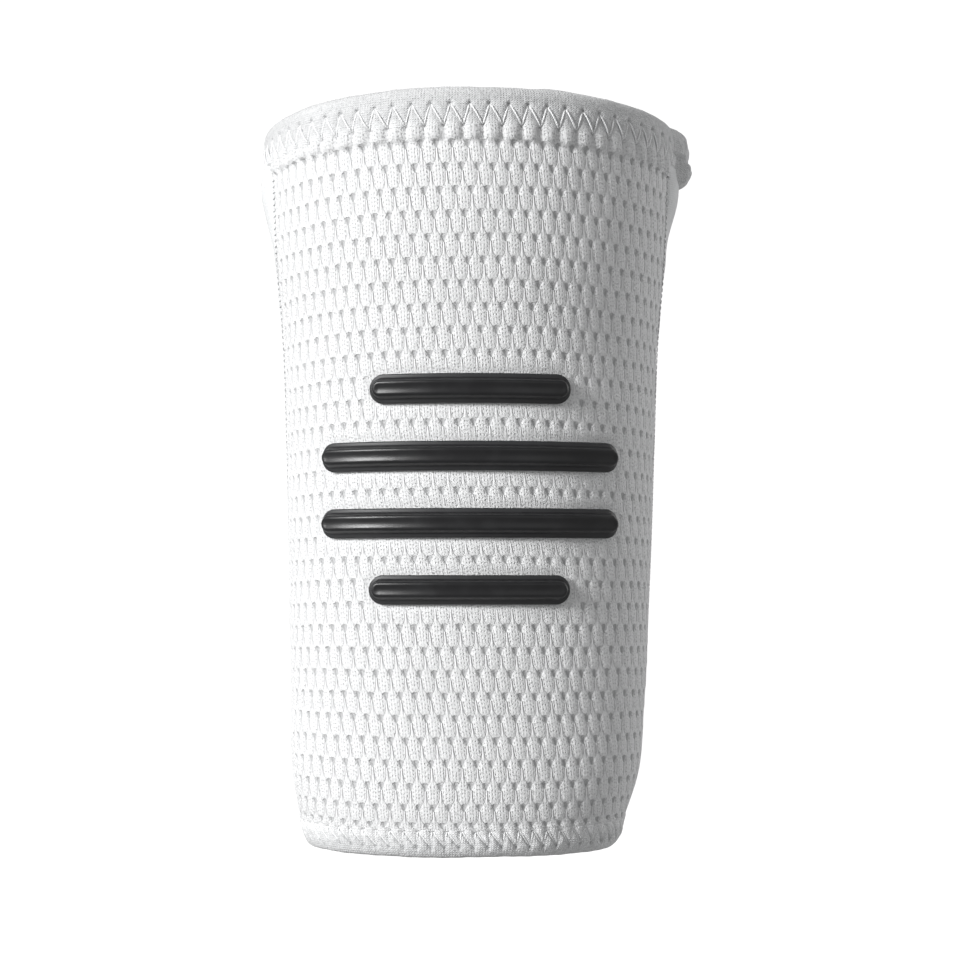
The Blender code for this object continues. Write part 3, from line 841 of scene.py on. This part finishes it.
# The lapped ends of the forearm band, folded over each other at the right side and sewn down, so
# that they stand out as two soft lobes with a crease between them.
JOINT_ANGLE = math.radians(84.0)
JOINT_REACH_FRONT, JOINT_REACH_BACK = 0.0095, 0.0065
JOINT_COLUMNS, JOINT_ROWS = 110, 130
JOINT_LEVEL = 0.145
JOINT_SUNK = 0.00045

# Down the laps' middle: share of the outline, then how far below the band's edge and how far off
# the oval it lies, in millimetres
LAP_ROWS = np.array([
    (0.00, 0.90, 0.80),
    (0.05, -0.10, 1.20),
    (0.11, -0.35, 2.20),
    (0.17, -0.22, 3.30),
    (0.22, 0.18, 4.10),
    (0.27, 0.80, 4.72),
    (0.35, 2.20, 5.30),
    (0.43, 3.50, 5.52),
    (0.48, 4.30, 5.54),
    (0.53, 5.10, 5.44),
    (0.56, 5.60, 5.26),
    (0.59, 6.00, 5.42),
    (0.63, 6.60, 5.98),
    (0.68, 7.30, 6.20),
    (0.75, 8.40, 6.02),
    (0.81, 9.40, 5.55),
    (0.87, 10.00, 4.90),
    (0.92, 10.45, 4.10),
    (0.97, 10.65, 3.20),
    (1.00, 10.50, 2.30),
])

lap_across = np.linspace(-1, 1, JOINT_COLUMNS + 1)
lap_down = np.linspace(0, 1, JOINT_ROWS + 1)[:, None]
lap_run = np.where(lap_across < 0, JOINT_REACH_FRONT, JOINT_REACH_BACK) * lap_across
lap_below = smooth_between(LAP_ROWS, 1, lap_down) / 1000
lap_over = smooth_between(LAP_ROWS, 2, lap_down) / 1000
fold_share = np.clip(1 - lap_below / FOREARM_FOLD_ROUND, 0, 1)
band_face = FOREARM_BAND_WALL * (1 + np.sqrt(1 - fold_share**2)) / 2
sunk_over = np.minimum(lap_over, band_face - JOINT_SUNK)
sunk_below = np.maximum(lap_below, 0.0004)
lap_low = smooth_step((lap_below - 0.0050) / 0.0012)
upper_full = smooth_step((lap_across + 1) / 0.85) * smooth_step((1 - lap_across) / 0.55)
lower_full = smooth_step((lap_across + 0.46) / 0.40) * smooth_step((0.85 - lap_across) / 0.50)
lap_full = upper_full + (lower_full - upper_full) * lap_low
slanted = lap_across + 0.05 + 120 * (lap_below - 0.0092)
lap_crease = 0.00030 * np.exp(-((slanted / 0.07) ** 2)) * lap_low
lap_crease = lap_crease + 0.00022 * np.exp(-(((lap_across + 0.34) / 0.06) ** 2)) * (1 - lap_low)
# The creases' depth is kept as a mark for painted shade.
lap_marks = {"pressed_and_shade": np.concatenate([lap_crease / 0.0006, 0 * lap_crease])}
lap_fold = 0.00009 * np.sin(11 * lap_across + 1400 * lap_below + 1.2)
lap_fold = lap_fold + 0.00006 * np.sin(19 * lap_across - 2300 * lap_below)
lap_fold = (lap_fold - lap_crease) * lap_full * smooth_step((lap_over - 0.0025) / 0.0015)
lap_over = sunk_over + (lap_over - sunk_over) * lap_full + lap_fold
lap_below = sunk_below + (lap_below - sunk_below) * lap_full
lap_angle = JOINT_ANGLE + lap_run / cloth_per_radian(JOINT_ANGLE, JOINT_LEVEL, FOREARM_BAND_WALL)
lap_outer = sleeve_point(lap_angle, forearm_edge(lap_angle) - lap_below, lap_over)
inside_below, inside_over = np.clip(lap_below, 0.0009, 0.0100), np.minimum(lap_over, 0.0010) - 0.0002
lap_inner = sleeve_point(lap_angle, forearm_edge(lap_angle) - inside_below, inside_over)
lap_points = np.concatenate([lap_outer.reshape(-1, 3), lap_inner.reshape(-1, 3)])
lap_map = np.stack(np.broadcast_arrays(lap_run / JERSEY_WALE, lap_below / JERSEY_COURSE), axis=-1)
lap_maps = {"knit": np.concatenate([lap_map, lap_map])}
lap_faces = slab_faces(JOINT_ROWS + 1, JOINT_COLUMNS + 1)
joint = add_piece("lapped_joint", lap_points, lap_faces, jersey, lap_maps, lap_marks)
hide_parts("hem_joint")

# The wrist band: a narrower strip of the same jersey, folded over the raw edge at the wrist end.
# Its zigzag slants, and the thread sinks deep into the cloth on the way back to the knit.
WRIST_BAND_WALL = 0.0028
WRIST_SEWN_WALL = 0.00265
WRIST_FOLD_ROUND = 0.0023
WRIST_APEX, WRIST_FOOT = 0.0055, 0.0021

wrist_stitch = (WRIST_APEX, WRIST_FOOT, WRIST_FOOT_LEAN, (0.00030, 0.00006))
wrist_level = WRIST_BAND_DEPTH / 2
ring, ring_maps, ring_marks = band_ring(
    wrist_edge, 1, wrist_level, WRIST_BAND_WALL, WRIST_BAND_DEPTH, WRIST_FOLD_ROUND,
    WRIST_SEWN_WALL, WRIST_ZIGZAGS, wrist_stitch,
)
wrist_jersey = band_knit("wrist_band_knit", 0.80)
wrist_band = add_piece("wrist_band", ring, ring_faces(*ring.shape[:2]), wrist_jersey, ring_maps, ring_marks)
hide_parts("wrist_hem")
path, away = zigzag_path(
    wrist_edge, 1, wrist_level, WRIST_BAND_WALL, WRIST_ZIGZAGS, wrist_stitch, (-0.00008, -0.00022)
)
rings, faces = thread_tube(path, away, THREAD_RADIUS, closed=True)
wrist_zigzag = add_piece("wrist_zigzag", rings, faces, thread_white, {"knit": thread_map(rings)})

# The side seams: the front and the back meet edge to edge, and a close zigzag of finer thread
# binds them from band to band, on the left and on the right.
SEAM_STITCHES = 112
SEAM_STITCH_REACH = 0.0009
SEAM_THREAD_RADIUS = 0.00010

for side, side_name in ((-1, "left"), (1, "right")):
    count = np.arange(SEAM_STITCHES * 8 + 1) / 8
    share = 1 - count / SEAM_STITCHES
    swing = np.abs(count % 1 * 2 - 1) * 2 - 1
    angle = seam_angle(share)
    height = panel_height(angle, share)
    angle = angle + swing * SEAM_STITCH_REACH / cloth_per_radian(angle, height, FRONT_WALL)
    offset = FRONT_WALL - 0.0001 + 0.00022 * np.sqrt(1 - swing**2)
    path = sleeve_point(side * angle, height, offset)
    away = sleeve_point(side * angle, height, offset + 0.001) - path
    rings, faces = thread_tube(path, away, SEAM_THREAD_RADIUS, sides=6)
    seam_maps = {"knit": thread_map(rings)}
    seam_thread = add_piece("seam_thread_" + side_name, rings, faces, thread_white, seam_maps)

# The ribs: four round-ended bars of black satin rubber, moulded with a thin flange all round that
# is bonded to the knit, a bevelled wall and a slightly dished face. They bend with the front.
RIB_STRAIGHT_STEPS, RIB_END_STEPS = 70, 14
FLANGE_INSET = 0.0008
# The scuffed grey also serves as a painted highlight on the flange.
RUBBER_BLACK, RUBBER_SCUFF_AND_HIGHLIGHT = (0.008, 0.008, 0.009), (0.035, 0.036, 0.038)

# Inset from the flange's edge and rise over the front's face, along the moulding's outline
RIB_ROWS = np.array([
    (0.0000, -0.0006),
    (0.0000, 0.0002),
    (0.0001, 0.0005),
    (0.0003, 0.0006),
    (0.0007, 0.0006),
    (0.0009, 0.0008),
    (0.0011, 0.0012),
    (0.0013, 0.0017),
    (0.0015, 0.0020),
    (0.0018, 0.00215),
    (0.0021, 0.0021),
    (0.0025, 0.0020),
    (0.0028, 0.00198),
])


def satin_rubber():
    """Near-black satin rubber: a fine moulded grain, duller on the flange, with faint scuffs. The
    flange is also greyed a little, as a painted highlight.
    """
    material, shader, place = finish_with("satin_rubber", {"Specular IOR Level": 0.5})
    grain = place.node("ShaderNodeTexNoise", {"Vector": place, "Scale": 5000.0, "Detail": 1.0})
    scuff = place.node("ShaderNodeTexNoise", {"Vector": place, "Scale": 260.0, "Detail": 4.0})
    edge = place.node("ShaderNodeAttribute", {}, 2, attribute_name="flange")
    # Scuffs, and a painted highlight on the flange, grey the black.
    scuffs_and_flange_highlight = (edge * 0.5 + (scuff - 0.45).clipped() * 0.8).clipped()
    roughness = 0.30 + edge * 0.15 + scuff * 0.10
    feed(shader, place, scuffs_and_flange_highlight.shade(RUBBER_BLACK, RUBBER_SCUFF_AND_HIGHLIGHT), roughness, grain, 0.00002)
    return material


rubber = satin_rubber()
quarter = np.linspace(0, math.pi / 2, RIB_END_STEPS + 1)[:-1]
straight = np.linspace(-1, 1, RIB_STRAIGHT_STEPS + 1)
for number, (centre, length) in enumerate(zip(*rib_places(), strict=True), start=1):
    inset, rise = RIB_ROWS[:, :1], RIB_ROWS[:, 1:]
    half_height = RIB_HEIGHT / 2 - inset
    half_straight = (length - RIB_HEIGHT) / 2 + 0 * inset
    left_end = -half_straight - half_height * np.cos(quarter)
    upper_run = np.concatenate([left_end, half_straight * straight, -left_end[:, ::-1]], axis=1)
    upper_rise = np.concatenate([
        half_height * np.sin(quarter),
        half_height + 0 * straight,
        half_height * np.sin(quarter)[::-1],
    ], axis=1)
    run = np.concatenate([upper_run, upper_run[:, -2:0:-1]], axis=1)
    up = np.concatenate([upper_rise, -upper_rise[:, -2:0:-1]], axis=1)
    angle = angle_at(run, centre + up, FRONT_WALL + SEAM_GAP)
    points = sleeve_point(angle, centre + up, FRONT_WALL + SEAM_GAP + rise)
    levels, around = run.shape
    index = np.arange(levels * around).reshape(levels, around)
    beside = np.roll(index, -1, axis=1)
    wall = np.stack([index[:-1], beside[:-1], beside[1:], index[1:]], axis=-1).reshape(-1, 4)
    c = np.arange(upper_run.shape[1] - 1)
    rungs = np.stack([c, c + 1, (around - c - 1) % around, (around - c) % around], axis=-1)
    rungs = [list(dict.fromkeys(rung)) for rung in rungs.tolist()]
    top = (levels - 1) * around
    faces = wall.tolist() + rungs + [[top + k for k in rung] for rung in rungs]
    flange = np.broadcast_to(inset < FLANGE_INSET, run.shape).astype(float)
    rib = add_piece(f"moulded_rib_{number}", points, faces, rubber, None, {"flange": flange})
    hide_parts(f"impact_rib_{number}")

# The studio: a pale floor under the sleeve and a white surround, a broad soft light from the left
# front, weak ones from the right and behind, and the camera a little below the sleeve's middle.
FLOOR_HEIGHT, FLOOR_RADIUS = -0.12, 6
SURROUND_RADIUS = 5.5
AMBIENT = 0.34
SLEEVE_MIDDLE = (0, 0, 0.075)


def glowing(name, colour, glow):
    """A plain pale surface that also gives off some light of its own."""
    material, shader, _ = finish_with(name, {"Roughness": 0.9, "Emission Strength": glow})
    shader.inputs["Base Color"].default_value = (*colour, 1)
    shader.inputs["Emission Color"].default_value = (1, 1, 1, 1)
    return material


def stage_grid(name, points, material):
    """A sheet of the stage, from a grid of points, that is seen but lights nothing."""
    mesh = bpy.data.meshes.new(name)
    mesh.from_pydata(points.reshape(-1, 3), [], grid_faces(*points.shape[:2]).tolist())
    mesh.shade_smooth()
    mesh.materials.append(material)
    sheet = bpy.data.objects.new(name, mesh)
    bpy.context.scene.collection.objects.link(sheet)
    sheet.visible_diffuse = False
    sheet.visible_glossy = False
    sheet.visible_shadow = False


radius, turn = np.meshgrid(np.linspace(0, FLOOR_RADIUS, 5), np.linspace(0, 2 * math.pi, 65))
floor = np.stack([radius * np.cos(turn), radius * np.sin(turn), 0 * radius + FLOOR_HEIGHT], axis=-1)
stage_grid("studio_floor", floor, glowing("studio_floor", (0.8, 0.8, 0.8), 0.74))
rise, turn = np.meshgrid(np.linspace(-0.05, math.pi / 2, 24), np.linspace(0, 2 * math.pi, 65))
shell = np.stack([np.cos(rise) * np.cos(turn), np.cos(rise) * np.sin(turn), np.sin(rise)], axis=-1)
stage_grid("studio_surround", SURROUND_RADIUS * shell, glowing("studio_surround", (0.0, 0.0, 0.0), 1.05))

world = bpy.data.worlds.new("studio")
world.use_nodes = True
world.node_tree.nodes["Background"].inputs["Color"].default_value = (1, 1, 1, 1)
world.node_tree.nodes["Background"].inputs["Strength"].default_value = AMBIENT
bpy.context.scene.world = world


def soft_light(name, place, aim, size, power):
    """A square area light at a place, turned to shine at another."""
    light = bpy.data.lights.new(name, "AREA")
    light.shape = "SQUARE"
    light.size = size
    light.energy = power
    lamp = bpy.data.objects.new(name, light)
    bpy.context.scene.collection.objects.link(lamp)
    lamp.location = place
    run = np.subtract(aim, place)
    tilt, heading = math.acos(-run[2] / np.linalg.norm(run)), math.atan2(run[1], run[0])
    lamp.rotation_euler = (tilt, 0, heading - math.pi / 2)
    lamp.visible_camera = False


soft_light("key", (-1.50, -1.12, 0.68), SLEEVE_MIDDLE, 0.66, 51.5)
soft_light("fill", (0.6, -1.2, 0.35), SLEEVE_MIDDLE, 0.8, 0.8)
soft_light("edge", (1.0, 0.58, 0.30), SLEEVE_MIDDLE, 0.6, 4.1)

camera = bpy.data.objects.new("camera", bpy.data.cameras.new("camera"))
camera.data.lens = 91.4
camera.data.sensor_width = 36.0
camera.data.clip_start = 0.01
camera.data.clip_end = 50.0
camera.location = (0.00144, -0.50, 0.053)
camera.rotation_euler = (math.radians(90 + 2.63), 0, 0)
bpy.context.scene.collection.objects.link(camera)
bpy.context.scene.camera = camera
bpy.context.scene.view_settings.view_transform = "Standard"
